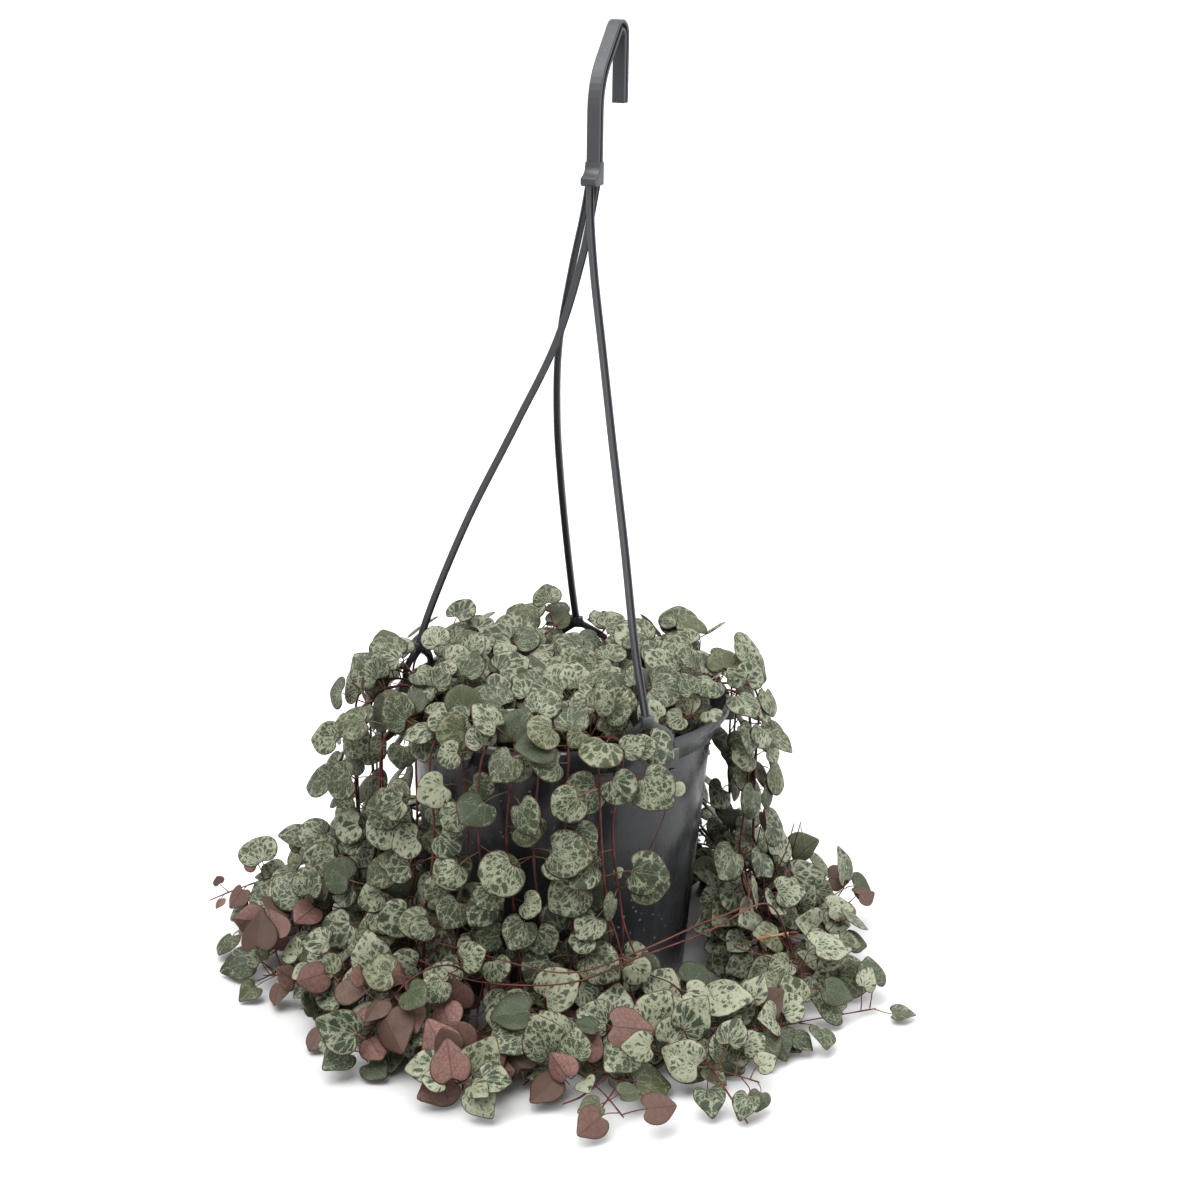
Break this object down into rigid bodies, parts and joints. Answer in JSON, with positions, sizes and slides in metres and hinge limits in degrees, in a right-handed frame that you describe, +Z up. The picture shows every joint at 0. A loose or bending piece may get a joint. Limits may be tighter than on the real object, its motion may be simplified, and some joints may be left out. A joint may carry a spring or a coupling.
{
  "type": "string of hearts plant in a hanging pot",
  "caption": "Trailing string of hearts vine with marbled heart-shaped leaves, growing in a round tapered plastic pot with a hooked three-strand hanger.",
  "frame": {"origin": "centre of the pot's underside, on the surface that it stands on", "axes": "+Z up along the pot's axis towards the hook; -Y is the side from which the plain, leafless part of the pot is seen to the right"},
  "size_m": [0.3003, 0.3094, 0.3913],
  "materials": {
    "pot_plastic": "injection-moulded, dark grey, semi-gloss",
    "hanger_plastic": "moulded flexible plastic, dark grey, satin",
    "soil": "moist dark peat compost",
    "foliage": "succulent leaves, marbled silver on dark green, pink below, on thin red stems"
  },
  "bodies": {
    "root": {"pot": "pot_plastic", "hanger": "hanger_plastic", "soil": "soil", "young_stem": "foliage", "trailing_stem_01": "foliage", "trailing_stem_02": "foliage", "trailing_stem_03": "foliage", "trailing_stem_04": "foliage", "trailing_stem_05": "foliage", "trailing_stem_06": "foliage", "trailing_stem_07": "foliage", "trailing_stem_08": "foliage", "trailing_stem_09": "foliage", "trailing_stem_10": "foliage", "trailing_stem_11": "foliage", "trailing_stem_12": "foliage", "trailing_stem_13": "foliage", "trailing_stem_14": "foliage", "trailing_stem_15": "foliage", "trailing_stem_16": "foliage", "trailing_stem_17": "foliage", "trailing_stem_18": "foliage", "trailing_stem_19": "foliage", "trailing_stem_20": "foliage", "trailing_stem_21": "foliage", "trailing_stem_22": "foliage", "trailing_stem_23": "foliage", "trailing_stem_24": "foliage", "trailing_stem_25": "foliage", "trailing_stem_26": "foliage", "trailing_stem_27": "foliage", "crown_stem_01": "foliage", "crown_stem_02": "foliage", "crown_stem_03": "foliage", "crown_stem_04": "foliage", "crown_stem_05": "foliage", "crown_stem_06": "foliage", "crown_stem_07": "foliage", "crown_stem_08": "foliage", "crown_stem_09": "foliage", "crown_stem_10": "foliage", "crown_stem_11": "foliage", "crown_stem_12": "foliage"}
  },
  "joints": []
}
